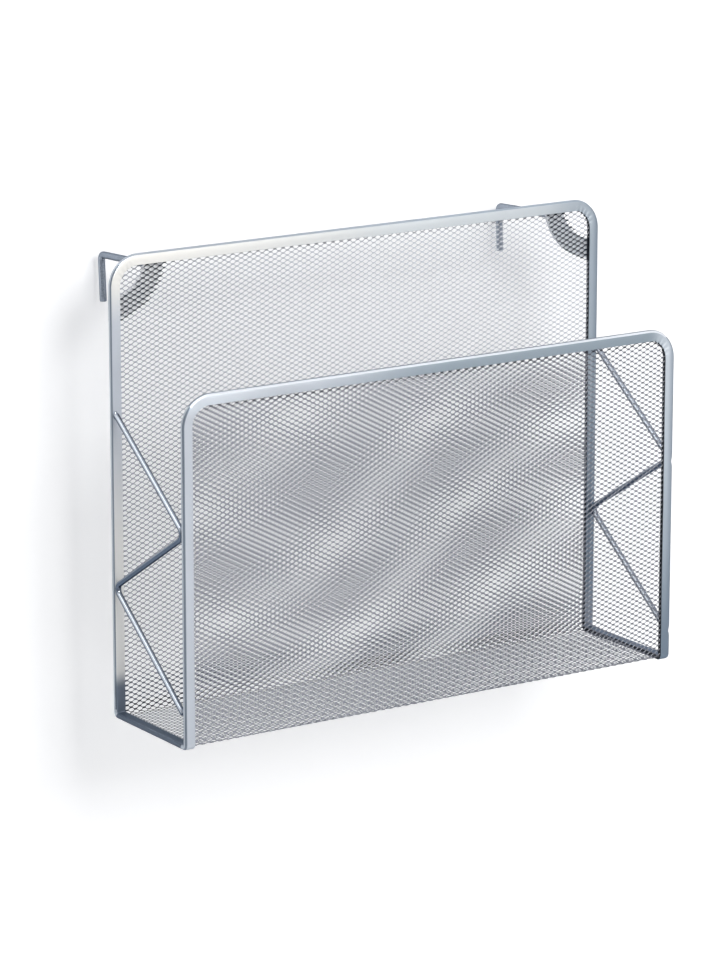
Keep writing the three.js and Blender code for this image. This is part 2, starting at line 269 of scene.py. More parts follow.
def uneven(u, s):
    """Flat points of the even pattern, moved to where the unevenly expanded sheet has them."""
    across = wander(u, s, WAVES_ACROSS)
    along = wander(u, s, WAVES_ALONG)
    share = np.clip((s - BOTTOM_START) / (BOTTOM_END - BOTTOM_START), 0, 1)
    height = np.clip(s - FRONT_START, 0, None)
    across = across + share * (FRONT_SHIFT_ACROSS + FRONT_STRETCH_ACROSS * u)
    along = along + share * (FRONT_SHIFT_ALONG + FRONT_SKEW_ALONG * u)
    return u + across + FRONT_SKEW_ACROSS * height, s + along + FRONT_STRETCH_ALONG * height


def mesh_piece(name, cells, owned, replaced, paints):
    """One piece of expanded metal: its own knuckles, and the strands that go right from them.
    Its paints are for its knuckles, and for its strands that go down and up the flat sheet."""
    column, row = cells
    where = {cell: i for i, cell in enumerate(zip(column.tolist(), row.tolist()))}
    beyond = {}
    for step in (1, -1):
        beyond[step] = np.array([where.get((c + 1, r + step), -1)
                                 for c, r in zip(column.tolist(), row.tolist())])
    used = owned.copy()
    for step in (1, -1):
        used[beyond[step][owned & (beyond[step] >= 0)]] = True
    number = np.cumsum(used) - 1

    ends = np.array([-1, 1]) * KNUCKLE_HALF
    levels = np.array([-1, 0, 1]) * STRAND_WIDTH
    sides = np.array([-1, 1]) * STRAND_THICKNESS / 2
    end, level, side = (a.ravel() for a in np.meshgrid(ends, levels, sides, indexing="ij"))
    u, s = uneven(column[used] * MESH_LONG / 2, row[used] * MESH_SHORT / 2)
    on_bottom = np.minimum(s - BACK_END, FRONT_START - s) / TILT_CHANGE
    flatter = np.clip(on_bottom, 0, 1) * (BOTTOM_TILT - STRAND_TILT)
    tilt = (STRAND_TILT + flatter)[:, None]
    ds = level * np.cos(tilt) - side * np.sin(tilt)
    dn = level * np.sin(tilt) + side * np.cos(tilt)
    points = fold(u[:, None] + end, s[:, None] + ds, dn).reshape(-1, 3)

    def ring(end_index, low, high):
        """A strand's four corners on one end of a knuckle, between two of its levels."""
        base = end_index * END_CORNERS
        return [base + low * 2, base + high * 2, base + high * 2 + 1, base + low * 2 + 1]

    start = number * CORNERS
    own = start[owned]
    faces = []
    for k in range(END_CORNERS):
        a, b = ROUND_AN_END[k], ROUND_AN_END[(k + 1) % END_CORNERS]
        faces.append(np.stack([own + END_CORNERS + a, own + END_CORNERS + b, own + b, own + a],
                              axis=1))
    for step, mine, theirs in ((1, (1, 2), (0, 1)), (-1, (0, 1), (1, 2))):
        has = owned & (beyond[step] >= 0)
        here, there = start[has], start[beyond[step][has]]
        near, far = ring(1, *mine), ring(0, *theirs)
        for k in range(4):
            n = (k + 1) % 4
            faces.append(np.stack([there + far[k], there + far[n], here + near[n],
                                   here + near[k]], axis=1))
        faces.append(start[owned & (beyond[step] < 0)][:, None] + np.array(near)[None, ::-1])
        outside = has & ~owned[beyond[step]]
        faces.append(start[beyond[step][outside]][:, None] + np.array(far)[None, ::-1])
        reached = np.zeros(len(column), bool)
        reached[beyond[step][has]] = True
        faces.append(start[owned & ~reached][:, None] + np.array(far)[None, :])
    kinds = [0] * END_CORNERS + [1] * GROUPS_PER_STEP + [2] * GROUPS_PER_STEP
    quads = np.concatenate(faces)
    piece = make_object(name, points, quads.tolist(), replaced, smooth=False)
    piece.data.materials.clear()
    for material in paints:
        piece.data.materials.append(material)
    of_faces = np.concatenate([np.full(len(f), kind) for f, kind in zip(faces, kinds)])
    piece.data.polygons.foreach_set("material_index", of_faces.astype(np.int32))
    return piece


# Stations round the rim: their count in a round corner, and their spacing in a fold and elsewhere.
CORNER_STEPS = 42
FOLD_SPACING = 0.4
RIM_SPACING = 1.5


def outline():
    """Stations round the flat rim: a point on its outer edge, the way inwards, and 1 in a round
    corner."""
    stations = []
    centre_u = HALF - CORNER_RADIUS
    top_s = CORNER_RADIUS
    low_s = FLAT_LENGTH - CORNER_RADIUS

    def corner(cu, cs, start):
        for k in range(CORNER_STEPS):
            angle = start + math.pi / 2 * k / CORNER_STEPS
            stations.append((cu + CORNER_RADIUS * math.cos(angle),
                             cs + CORNER_RADIUS * math.sin(angle),
                             -math.cos(angle), -math.sin(angle), 1))

    def side(u, inward, values):
        for s in values:
            stations.append((u, s, inward, 0, 0))

    def edge(s, inward, start, end):
        count = round(abs(end - start) / RIM_SPACING)
        for k in range(count):
            stations.append((start + (end - start) * k / count, s, 0, inward, 0))

    values = []
    for start, end, spacing in ((top_s, BACK_END, RIM_SPACING),
                                (BACK_END, BOTTOM_START, FOLD_SPACING),
                                (BOTTOM_START, BOTTOM_END, RIM_SPACING),
                                (BOTTOM_END, FRONT_START, FOLD_SPACING),
                                (FRONT_START, low_s, RIM_SPACING)):
        count = max(round((end - start) / spacing), 1)
        values += [start + (end - start) * k / count for k in range(count)]
    corner(centre_u, top_s, -math.pi / 2)
    side(HALF, -1, values)
    corner(centre_u, low_s, 0)
    edge(FLAT_LENGTH, -1, centre_u, -centre_u)
    corner(-centre_u, low_s, math.pi / 2)
    side(-HALF, 1, [low_s] + values[:0:-1])
    corner(-centre_u, top_s, math.pi)
    edge(0, 1, -centre_u, centre_u)
    return np.array(stations)


# The rim's section, as inset from its outer edge and height off the middle of the sheet. Its
# outer edge is half an oval, and its two lips end in a small break.
OVAL_REACH = 1.7
OVAL_STEPS = 6
LIP_BREAK = 0.18
LIP_POINTS = 5
RIM_SLOT = 0.55
SLOT_FLOOR = 2.6
LIP_BEND = 4.2
# The shoulders beside the rim's outer edge, in steps of the oval from its tip.
SHOULDER_START = 2
SHOULDER_END = 4


def rim_section():
    """The folded strip's section: an oval outside, and two lips with the slot between them."""
    section = []
    for k in range(2 * OVAL_STEPS + 1):
        angle = math.pi / 2 * k / OVAL_STEPS
        section.append((OVAL_REACH * (1 - math.sin(angle)), HALF_THICK * math.cos(angle)))
    lip = [(LIP_BEND, HALF_THICK), (RIM_WIDTH - LIP_BREAK, HALF_THICK),
           (RIM_WIDTH, HALF_THICK - LIP_BREAK), (RIM_WIDTH, RIM_SLOT), (SLOT_FLOOR, RIM_SLOT)]
    section += [(inset, -height) for inset, height in lip]
    return np.array(section + lip[::-1])


# The lips' small pleats in a corner, which are deeper on the right, how far a pleat draws a lip's
# edge out, and that edge's own slow wander.
PLEATS = 7
PLEAT_DEPTH = 0.30
RIGHT_PLEATS = 2.3
PLEAT_DRAW = 0.25
LIP_EDGE = 0.5
LIP_WANDER = 0.12
LIP_WANDER_PACE = 0.05
LIP_WANDER_START = 3.1
RIM_SHARP_ANGLE = math.radians(40)
# Small dents in the front's right edge, where the brace is welded behind it.
DENT_DEPTH = 0.95
DENT_HALF = 1.5
DENT_HEIGHTS = (17.5, 119.0)


def rim_strip(paints):
    """The one folded strip round the whole sheet, gathered in small pleats at its corners.
    Its paints are in the order that paint_numbers gives."""
    stations = outline()
    section = rim_section()
    count, around = len(stations), len(section)
    points = []
    corner_at = 0
    for u, s, in_u, in_s, corner in stations:
        corner_at = corner_at + 1 if corner else 0
        turn = corner_at / CORNER_STEPS
        pleat = math.sin(math.pi * turn) * (1 - math.cos(2 * math.pi * PLEATS * turn)) / 2
        if u > 0:
            pleat *= RIGHT_PLEATS
        dent = 0.0
        if s > FRONT_START and u > 0 and not corner:
            for height in DENT_HEIGHTS:
                off = (s - FRONT_START - height + FOLD_OUTER_RADIUS) / DENT_HALF
                dent += DENT_DEPTH * math.exp(-off * off)
        at = Vector((u * LIP_WANDER_PACE, s * LIP_WANDER_PACE, LIP_WANDER_START))
        lip_off = LIP_WANDER * noise.noise(at) - PLEAT_DRAW * pleat
        for inset, height in section:
            depth_in = min(max((inset - LIP_BEND) / (RIM_WIDTH - LIP_BEND), 0), 1)
            height -= math.copysign(PLEAT_DEPTH * pleat * depth_in, height) * (abs(height) > RIM_SLOT)
            at_lip = inset > RIM_WIDTH - LIP_EDGE
            inset += at_lip * lip_off + dent * max(1 - inset / OVAL_REACH, 0)
            points.append((u + in_u * inset, s + in_s * inset, height))
    flat = np.array(points)
    folded = fold(flat[:, 0], flat[:, 1], flat[:, 2])
    faces = []
    for i in range(count):
        j = (i + 1) % count
        for k in range(around):
            n = (k + 1) % around
            faces.append((i * around + k, j * around + k, j * around + n, i * around + n))
    strip = make_object("rim_strip", folded, faces,
                        ["back_rim", "front_rim", "left_bottom_rim", "right_bottom_rim"])
    strip.data.set_sharp_from_angle(angle=RIM_SHARP_ANGLE)
    strip.data.materials.clear()
    for material in paints:
        strip.data.materials.append(material)
    strip.data.polygons.foreach_set("material_index", paint_numbers(stations, around))
    return strip


# The rim's paints, by number: its faces, the shoulder of its outer edge in painted shade, that edge
# itself a little darker as painted shade, the ends and insides of its lips in painted shadow, and the
# painted highlight on the shoulder before the front's top.
FACE, SHOULDER, EDGE, LIP, HIGHLIGHT = range(5)


def paint_numbers(stations, around):
    """The paint of each of the strip's faces. The shoulder in painted shade is behind the tops,
    before the sides, and on both sides beside the bottom."""
    tip = np.arange(around) + 0.5 - OVAL_STEPS
    edge = np.abs(tip) < SHOULDER_END
    inner = (tip < -SHOULDER_START) & edge
    outer = (tip > SHOULDER_START) & edge
    top_inner = (tip < SHOULDER_START) & edge
    wide_outer = (tip > SHOULDER_START) & (tip < SHOULDER_END + 1)
    lips = np.abs(np.arange(around) - (2 * OVAL_STEPS + LIP_POINTS)) <= LIP_POINTS / 2
    rows = []
    for u, s, in_u, in_s, _ in stations:
        kinds = np.full(around, FACE)
        kinds[edge] = EDGE
        on_back = s < BACK_END
        on_top = abs(in_s) > abs(in_u)
        if BOTTOM_START < s < BOTTOM_END:
            kinds[edge] = SHOULDER
        elif on_top and on_back:
            kinds[outer] = SHOULDER
        elif on_top:
            kinds[wide_outer] = HIGHLIGHT
            kinds[top_inner] = SHOULDER
        elif on_back:
            kinds[inner] = SHOULDER
        elif u < 0:
            kinds[wide_outer] = SHOULDER
        else:
            kinds[outer] = SHOULDER
        kinds[lips] = LIP
        rows.append(kinds)
    return np.concatenate(rows).astype(np.int32)


WIRE_SIDES = 28
WIRE_SPACING = 4.0
WIRE_END_ROUND = 0.35
WIRE_SHARP_ANGLE = math.radians(50)
BEND_STEPS_PER_RADIAN = 10


def bent_wire(pins):
    """Points y, z along a wire that runs straight between round pins: y, z, radius, turn."""
    angles = []
    for a, b in zip(pins, pins[1:]):
        across = math.hypot(b[0] - a[0], b[1] - a[1])
        offset = (b[3] * b[2] - a[3] * a[2]) / across
        angles.append(math.atan2(b[1] - a[1], b[0] - a[0]) + math.acos(offset) - math.pi / 2)
    line = [(pins[0][0], pins[0][1], angles[0])]
    for i in range(1, len(pins) - 1):
        y, z, radius, turn = pins[i]
        sweep = angles[i] - angles[i - 1]
        while sweep * turn < 0:
            sweep += turn * 2 * math.pi
        steps = max(round(abs(sweep) * BEND_STEPS_PER_RADIAN), 2)
        for k in range(steps + 1):
            angle = angles[i - 1] + sweep * k / steps
            line.append((y + turn * radius * math.sin(angle),
                         z - turn * radius * math.cos(angle), angle))
    line.append((pins[-1][0], pins[-1][1], angles[-1]))
    return line


def rounded_end(station, way):
    """Three stations that soften a wire's end, from its tip inwards. The way is 1 or -1 along it."""
    y, z, angle, radius = station
    made = []
    for turn in (math.pi / 2, math.pi / 4, 0):
        in_from_tip = way * WIRE_END_ROUND * (1 - math.sin(turn))
        made.append((y + in_from_tip * math.cos(angle), z + in_from_tip * math.sin(angle), angle,
                     radius - WIRE_END_ROUND * (1 - math.cos(turn))))
    return made


def wire_mesh(x, line, radius):
    """A round wire in a side plane, with softened ends: points and faces."""
    stations = []
    for (y0, z0, a0), (y1, z1, a1) in zip(line, line[1:]):
        count = max(round(math.hypot(y1 - y0, z1 - z0) / WIRE_SPACING), 1)
        for k in range(count):
            t = k / count
            stations.append((y0 + (y1 - y0) * t, z0 + (z1 - z0) * t, a0 + (a1 - a0) * t, radius))
    stations.append((*line[-1], radius))
    start = rounded_end(stations[0], 1)
    end = rounded_end(stations[-1], -1)[::-1]
    stations = start + stations[1:-1] + end
    points, faces = [], []
    for y, z, angle, r in stations:
        for k in range(WIRE_SIDES):
            around = 2 * math.pi * k / WIRE_SIDES
            across = r * math.sin(around)
            points.append((x + r * math.cos(around),
                           y - across * math.sin(angle), z + across * math.cos(angle)))
    for i in range(len(stations) - 1):
        for k in range(WIRE_SIDES):
            n = (k + 1) % WIRE_SIDES
            a, b = i * WIRE_SIDES, (i + 1) * WIRE_SIDES
            faces.append((a + k, a + n, b + n, b + k))
    faces.append(tuple(range(WIRE_SIDES))[::-1])
    last = (len(stations) - 1) * WIRE_SIDES
    faces.append(tuple(last + k for k in range(WIRE_SIDES)))
    return points, faces


BRACE_RADIUS = 1.6
BRACE_BEND = 4.0
BRACE_HEIGHTS = (174, 121, 75, 20)
# A brace's weld beads: their radii, how far they lie past the wire's middle towards the rim, how
# far the end ones lie along the wire, and how far all lie outwards.
BRACE_BEAD = (1.25, 0.85, 2.3)
BRACE_BEAD_PAST = 0.9
BRACE_BEAD_ALONG = 0.6
BRACE_BEAD_OUT = 0.3


def brace(side):
    """One zig-zag brace, from under the back's rim to the foot of the front's rim."""
    word = "left" if side < 0 else "right"
    low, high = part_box(f"{word}_brace")
    x = ((low.x + high.x) / 2 - ORIGIN.x) / MM
    back = -RIM_THICKNESS - BRACE_RADIUS
    front = -DEPTH + RIM_THICKNESS + BRACE_RADIUS
    top, first, second, foot = BRACE_HEIGHTS
    line = bent_wire([(back, top, 0, 0), (front + BRACE_BEND, first, BRACE_BEND, 1),
                      (back - BRACE_BEND, second, BRACE_BEND, -1), (front, foot, 0, 0)])
    points, faces = wire_mesh(x, line, BRACE_RADIUS)
    piece = make_object(f"{word}_brace_wire", points, faces, [f"{word}_brace"])
    piece.data.set_sharp_from_angle(angle=WIRE_SHARP_ANGLE)
    spots = [(back + BRACE_BEAD_PAST, top - BRACE_BEAD_ALONG), (front - BRACE_BEAD_PAST, first),
             (back + BRACE_BEAD_PAST, second), (front - BRACE_BEAD_PAST, foot + BRACE_BEAD_ALONG)]
    weld_beads(f"{word}_brace_welds", [(x - side * BRACE_BEAD_OUT, y, z) for y, z in spots],
               BRACE_BEAD)
    return piece


# The bumps of a weld bead: their height, how close they lie, and how far apart two beads are
# in the noise that draws them.
BEAD_BUMP = 0.14
BEAD_BUMP_PACE = 2.1
BEAD_APART = 7.3


def weld_beads(name, centres, radii):
    """Small melted beads where a wire meets the metal it is welded to."""
    bm = bmesh.new()
    for number, centre in enumerate(centres):
        made = bmesh.ops.create_icosphere(bm, subdivisions=3, radius=1)
        for vertex in made["verts"]:
            at = vertex.co * BEAD_BUMP_PACE + Vector((number * BEAD_APART, 0, 0))
            bump = 1 + BEAD_BUMP * noise.noise(at)
            vertex.co = Vector([c + r * p * bump for c, r, p in zip(centre, radii, vertex.co)])
    mesh = bpy.data.meshes.new(name)
    for vertex in bm.verts:
        vertex.co = vertex.co * MM + ORIGIN
    bm.to_mesh(mesh)
    bm.free()
    mesh.shade_smooth()
    piece = bpy.data.objects.new(name, mesh)
    bpy.context.scene.collection.objects.link(piece)
    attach(piece, "root")
    return piece


PLATE_INNER = 24.8
PLATE_OUTER = 36.3
PLATE_EDGE_INSET = 1.5
PLATE_BEVEL = 0.3
PLATE_BEVEL_SHARE = 0.3
PLATE_STEPS = 40
PLATE_SHARP_ANGLE = math.radians(30)


def corner_plate(side):
    """One quarter ring behind a top corner, with its edges eased."""
    word = "left" if side < 0 else "right"
    thickness = size_of(f"{word}_corner_plate").y

    def ring_loop(inset, y):
        """The quarter ring's outline at a depth: its outer arc, and back along its inner arc."""
        loop = []
        for radius, forward in ((PLATE_OUTER - inset, True), (PLATE_INNER + inset, False)):
            reach = math.acos((PLATE_EDGE_INSET + inset) / radius)
            start, end = math.pi / 2 - reach, reach
            for k in range(PLATE_STEPS + 1):
                t = k / PLATE_STEPS if forward else 1 - k / PLATE_STEPS
                angle = start + (end - start) * t
                loop.append((side * (HALF - radius * math.cos(angle)), y,
                             BACK_HEIGHT - radius * math.sin(angle)))
        return loop

    loops = [ring_loop(0, 0), ring_loop(0, thickness - PLATE_BEVEL),
             ring_loop(PLATE_BEVEL * PLATE_BEVEL_SHARE, thickness - PLATE_BEVEL * PLATE_BEVEL_SHARE),
             ring_loop(PLATE_BEVEL, thickness)]
    count = len(loops[0])
    points = [p for loop in loops for p in loop]
    faces = []
    for level in range(len(loops) - 1):
        for k in range(count):
            n = (k + 1) % count
            a, b = level * count, (level + 1) * count
            faces.append((a + k, a + n, b + n, b + k))
    half = count // 2
    for base, flip in ((0, True), ((len(loops) - 1) * count, False)):
        for k in range(half - 1):
            quad = (base + k, base + k + 1, base + count - 2 - k, base + count - 1 - k)
            faces.append(quad[::-1] if flip else quad)
    piece = make_object(f"{word}_corner_ring", points, faces, [f"{word}_corner_plate"])
    fix_normals(piece)
    piece.data.set_sharp_from_angle(angle=PLATE_SHARP_ANGLE)
    return piece


def fix_normals(piece):
    """Turns a piece's faces outwards."""
    bm = bmesh.new()
    bm.from_mesh(piece.data)
    bmesh.ops.recalc_face_normals(bm, faces=bm.faces)
    bm.to_mesh(piece.data)
    bm.free()


HOOK_RADIUS = 2.0
HOOK_ARM = 55
HOOK_LEG = 26.6
HOOK_BEND = 2.8
HOOK_DROOP = math.radians(3.2)
HOOK_BEAD = (2.9, 0.8, 2.9)
HOOK_BEAD_OFF = 0.5


def hook(side):
    """One wire hook: the arm goes back from its plate, and the leg turns down."""
    word = "left" if side < 0 else "right"
    low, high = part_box(f"{word}_hook")
    x = ((low.x + high.x) / 2 - ORIGIN.x) / MM
    start_y = (low.y - ORIGIN.y) / MM
    start_z = (high.z - ORIGIN.z) / MM - HOOK_RADIUS
    line = bent_wire([(0, 0, 0, 0), (HOOK_ARM - HOOK_BEND, -HOOK_BEND, HOOK_BEND, -1),
                      (HOOK_ARM, -HOOK_LEG, 0, 0)])
    cosine, sine = math.cos(HOOK_DROOP), math.sin(HOOK_DROOP)
    turned = [(start_y + y * cosine + z * sine, start_z - y * sine + z * cosine, a - HOOK_DROOP)
              for y, z, a in line]
    points, faces = wire_mesh(x, turned, HOOK_RADIUS)
    piece = make_object(f"{word}_hook_wire", points, faces, [f"{word}_hook"])
    piece.data.set_sharp_from_angle(angle=WIRE_SHARP_ANGLE)
    weld_beads(f"{word}_hook_weld", [(x, start_y + HOOK_BEAD_OFF, start_z)], HOOK_BEAD)
    return piece


# Materials. The paint's fine flake, and where its slow changes of tone are darkest and lightest.
FLAKE_SCALE = 2600.0
FLAKE_BUMP = 0.0001
FLAKE_GRAIN = 0.15
ROUGHNESS_CHANGE = 0.06
DARKEST_AT = 0.35
LIGHTEST_AT = 0.65
# The band along the back's top where its painted highlight sets in, down from the top.
TOP_BAND_START = 40
TOP_BAND_END = 12
# The way in which the rim and the plates turn from their painted shade to their paint: darker towards
# the bottom right, as less light reaches and reflects there.
LIGHT_WAY = Vector((-0.7 / (WIDTH * MM), 0.0, 0.05 / (BACK_HEIGHT * MM)))


def node(tree, kind, **values):
    """A new shader node, with its settings and the values of its inputs."""
    made = tree.nodes.new(kind)
    for key, value in values.items():
        if hasattr(made, key):
            setattr(made, key, value)
        else:
            made.inputs[key].default_value = value
    return made


# The finish of each kind of paint: its roughness, how metallic it is, and its slow changes of
# tone, in turns for each metre and as a share of the colour.
RIM_FINISH = (0.36, 0.85, 14, 0.05)
PAINTED_HIGHLIGHT_FINISH = (0.30, 0.45, 14, 0.04)
SLOT_FINISH = (0.6, 0.1, 14, 0.05)
MESH_FINISH = (0.42, 0.45, 30, 0.06)
WIRE_FINISH = (0.20, 1.0, 40, 0.06)
HOOK_FINISH = (0.28, 0.9, 40, 0.08)
PLATE_FINISH = (0.45, 0.1, 25, 0.08)


def paint(name, colour, finish, painted_shade=None, top_highlight=None, regions=(), sides=(),
          plate_shadow=None):
    """Silver-grey paint with a fine flake and slow changes of tone. With a painted shade, the paint
    turns to it from the top left to the bottom right. A top highlight is painted light for the top
    of the back, regions have painted light and shade of their own, sides are painted shade for what
    faces a way, and a plate shadow is painted shadow for what lies over the corner plates."""
    roughness, metallic, streak, variation = finish
    material = bpy.data.materials.new(name)
    material.use_nodes = True
    tree = material.node_tree
    shader = tree.nodes["Principled BSDF"]
    shader.inputs["Metallic"].default_value = metallic
    shader.inputs["Specular Tint"].default_value = (*GRAZING_TINT, 1)
    at = node(tree, "ShaderNodeTexCoord").outputs["Object"]
    scale = node(tree, "ShaderNodeMapping")
    scale.inputs["Scale"].default_value = (streak, streak, streak)
    tree.links.new(at, scale.inputs["Vector"])
    slow = node(tree, "ShaderNodeTexNoise", Scale=1.0, Detail=4.0, Roughness=0.55)
    tree.links.new(scale.outputs["Vector"], slow.inputs["Vector"])
    ramp = node(tree, "ShaderNodeValToRGB")
    dark = [c * (1 - variation) for c in colour]
    light = [min(c * (1 + variation), 1) for c in colour]
    ramp.color_ramp.elements[0].position = DARKEST_AT
    ramp.color_ramp.elements[0].color = (*dark, 1)
    ramp.color_ramp.elements[1].position = LIGHTEST_AT
    ramp.color_ramp.elements[1].color = (*light, 1)
    tree.links.new(slow.outputs["Fac"], ramp.inputs["Fac"])
    toned = ramp.outputs["Color"]
    if top_highlight:
        band = ("Z", BACK_HEIGHT - TOP_BAND_START, BACK_HEIGHT - TOP_BAND_END)
        toned = regional(tree, at, toned, top_highlight, 1.0, (band,))
    if painted_shade:
        toned = painted_slope_shade(tree, at, toned, painted_shade)
    for colour_there, share, spans in regions:
        toned = regional(tree, at, toned, colour_there, share, spans)
    for way, start, end, colour_there in sides:
        toned = sided(tree, toned, way, start, end, colour_there)
    if plate_shadow:
        toned = plate_shadowed(tree, at, toned, plate_shadow)
    tree.links.new(toned, shader.inputs["Base Color"])
    flake = node(tree, "ShaderNodeTexNoise", Scale=FLAKE_SCALE, Detail=2.0)
    tree.links.new(at, flake.inputs["Vector"])
    rough = node(tree, "ShaderNodeMapRange")
    rough.inputs["To Min"].default_value = roughness - ROUGHNESS_CHANGE
    rough.inputs["To Max"].default_value = roughness + ROUGHNESS_CHANGE
    tree.links.new(flake.outputs["Fac"], rough.inputs["Value"])
    tree.links.new(rough.outputs["Result"], shader.inputs["Roughness"])
    bump = node(tree, "ShaderNodeBump", Strength=FLAKE_GRAIN, Distance=FLAKE_BUMP)
    tree.links.new(flake.outputs["Fac"], bump.inputs["Height"])
    tree.links.new(bump.outputs["Normal"], shader.inputs["Normal"])
    return material


def step(tree, operation, left, right=None):
    """The outcome of one Math node on numbers or sockets."""
    made = node(tree, "ShaderNodeMath", operation=operation)
    for socket, value in ((made.inputs[0], left), (made.inputs[1], right)):
        if isinstance(value, (int, float)):
            socket.default_value = value
        elif value is not None:
            tree.links.new(value, socket)
    return made.outputs[0]


def ranged(tree, value, start, end, interpolation="SMOOTHSTEP"):
    """A change from 0 to 1 while a value goes from a start to an end."""
    change = node(tree, "ShaderNodeMapRange", interpolation_type=interpolation)
    change.inputs["From Min"].default_value = start
    change.inputs["From Max"].default_value = end
    tree.links.new(value, change.inputs["Value"])
    return change.outputs["Result"]


def along(tree, vector, way):
    """How far a vector reaches along a way."""
    made = node(tree, "ShaderNodeVectorMath", operation="DOT_PRODUCT")
    made.inputs[1].default_value = way
    tree.links.new(vector, made.inputs[0])
    return made.outputs["Value"]


# A Mix node's sockets for its share and for colours, by number, because its names repeat.
MIX_SHARE, MIX_FROM, MIX_TO = 0, 6, 7
MIXED_COLOUR = 2


def mixed(tree, amount, tone, colour):
    """The tone with a share of another colour."""
    mix = node(tree, "ShaderNodeMix", data_type="RGBA", blend_type="MIX")
    tree.links.new(amount, mix.inputs[MIX_SHARE])
    tree.links.new(tone, mix.inputs[MIX_FROM])
    mix.inputs[MIX_TO].default_value = (*colour, 1)
    return mix.outputs[MIXED_COLOUR]


def painted_slope_shade(tree, at, tone, painted_shade):
    """The tone mixed with a painted shade, which grows along the slope from the top left back to the
    bottom right.
    """
    top_left = Vector(place((-HALF, 0, BACK_HEIGHT))).dot(LIGHT_WAY)
    low_right = Vector(place((HALF, -DEPTH, 0))).dot(LIGHT_WAY)
    amount = ranged(tree, along(tree, at, LIGHT_WAY), top_left, low_right, "LINEAR")
    return mixed(tree, amount, tone, painted_shade)


def regional(tree, at, tone, colour, share, spans):
    """The tone with a share of another colour in a region. Each of its spans has an axis, where
    the region starts on it, and where the colour has its whole share."""
    apart = node(tree, "ShaderNodeSeparateXYZ")
    tree.links.new(at, apart.inputs[0])
    amount = share
    for axis, start, end in spans:
        origin = ORIGIN["XYZ".index(axis)]
        change = ranged(tree, apart.outputs[axis], origin + start * MM, origin + end * MM)
        amount = step(tree, "MULTIPLY", change, amount)
    return mixed(tree, amount, tone, colour)


def sided(tree, tone, way, start, end, colour):
    """The tone turning to another colour where the surface faces along a way: painted shade by which
    way a face turns.
    """
    facing = node(tree, "ShaderNodeNewGeometry").outputs["Normal"]
    return mixed(tree, ranged(tree, along(tree, facing, way), start, end), tone, colour)


# How far the painted shadow over a corner plate spreads past it.
PLATE_SHADOW_SPREAD = 0.8


def plate_shadowed(tree, at, tone, colour):
    """The tone with a painted shadow in a quarter ring in each top corner of the back, where the
    strands and their shadows lie over the corner plates.
    """
    corner = Vector(place((HALF, 0, BACK_HEIGHT)))
    apart = node(tree, "ShaderNodeSeparateXYZ")
    tree.links.new(at, apart.inputs[0])
    across = step(tree, "SUBTRACT", step(tree, "ABSOLUTE", apart.outputs["X"]), corner.x)
    down = step(tree, "SUBTRACT", apart.outputs["Z"], corner.z)
    squares = step(tree, "ADD", step(tree, "POWER", across, 2.0), step(tree, "POWER", down, 2.0))
    middle = (PLATE_INNER + PLATE_OUTER) / 2 * MM
    off_ring = step(tree, "ABSOLUTE", step(tree, "SUBTRACT", step(tree, "SQRT", squares), middle))
    reach = (PLATE_OUTER - PLATE_INNER) / 2 + PLATE_SHADOW_SPREAD
    amount = step(tree, "LESS_THAN", off_ring, reach * MM)
    return mixed(tree, amount, tone, colour)


def dress(piece, material):
    """Gives a piece its one material."""
    piece.data.materials.clear()
    piece.data.materials.append(material)


# Stage, lights and camera.

WALL_GAP = 64
FLOOR_DROP = 900
STAGE_REACH = 6000
WALL_TONE = 0.8
FLOOR_TONE = 0.7
# How much each card glows where it is seen, so that its shadows stay pale.
WALL_LIFT = 0.32
FLOOR_LIFT = 0.1


def stage_card(name, corners, material):
    """One flat card of the surroundings."""
    mesh = bpy.data.meshes.new(name)
    mesh.from_pydata([tuple(v) for v in place(corners)], [], [(0, 1, 2, 3)])
    card = bpy.data.objects.new(name, mesh)
    bpy.context.scene.collection.objects.link(card)
    mesh.materials.append(material)
    card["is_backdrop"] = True
    return card


def white_card(name, tone, lifted, one_sided):
    """Plain pale card that still takes a shadow. A one-sided card isn't there from behind."""
    material = bpy.data.materials.new(name)
    material.use_nodes = True
    tree = material.node_tree
    shader = tree.nodes["Principled BSDF"]
    shader.inputs["Base Color"].default_value = (tone, tone, tone, 1)
    shader.inputs["Roughness"].default_value = 1
    shader.inputs["Specular IOR Level"].default_value = 0
    output = tree.nodes["Material Output"]
    seen = node(tree, "ShaderNodeLightPath").outputs
    direct = step(tree, "MAXIMUM", seen["Is Camera Ray"], seen["Is Glossy Ray"])
    strength = step(tree, "MULTIPLY", step(tree, "MAXIMUM", direct, seen["Is Transmission Ray"]),
                    lifted)
    glow = node(tree, "ShaderNodeEmission")
    tree.links.new(strength, glow.inputs["Strength"])
    both = node(tree, "ShaderNodeAddShader")
    tree.links.new(shader.outputs["BSDF"], both.inputs[0])
    tree.links.new(glow.outputs["Emission"], both.inputs[1])
    surface = both.outputs["Shader"]
    if one_sided:
        clear = node(tree, "ShaderNodeBsdfTransparent")
        mix = node(tree, "ShaderNodeMixShader")
        geometry = node(tree, "ShaderNodeNewGeometry")
        tree.links.new(geometry.outputs["Backfacing"], mix.inputs["Fac"])
        tree.links.new(surface, mix.inputs[1])
        tree.links.new(clear.outputs["BSDF"], mix.inputs[2])
        surface = mix.outputs["Shader"]
    tree.links.new(surface, output.inputs["Surface"])
    return material


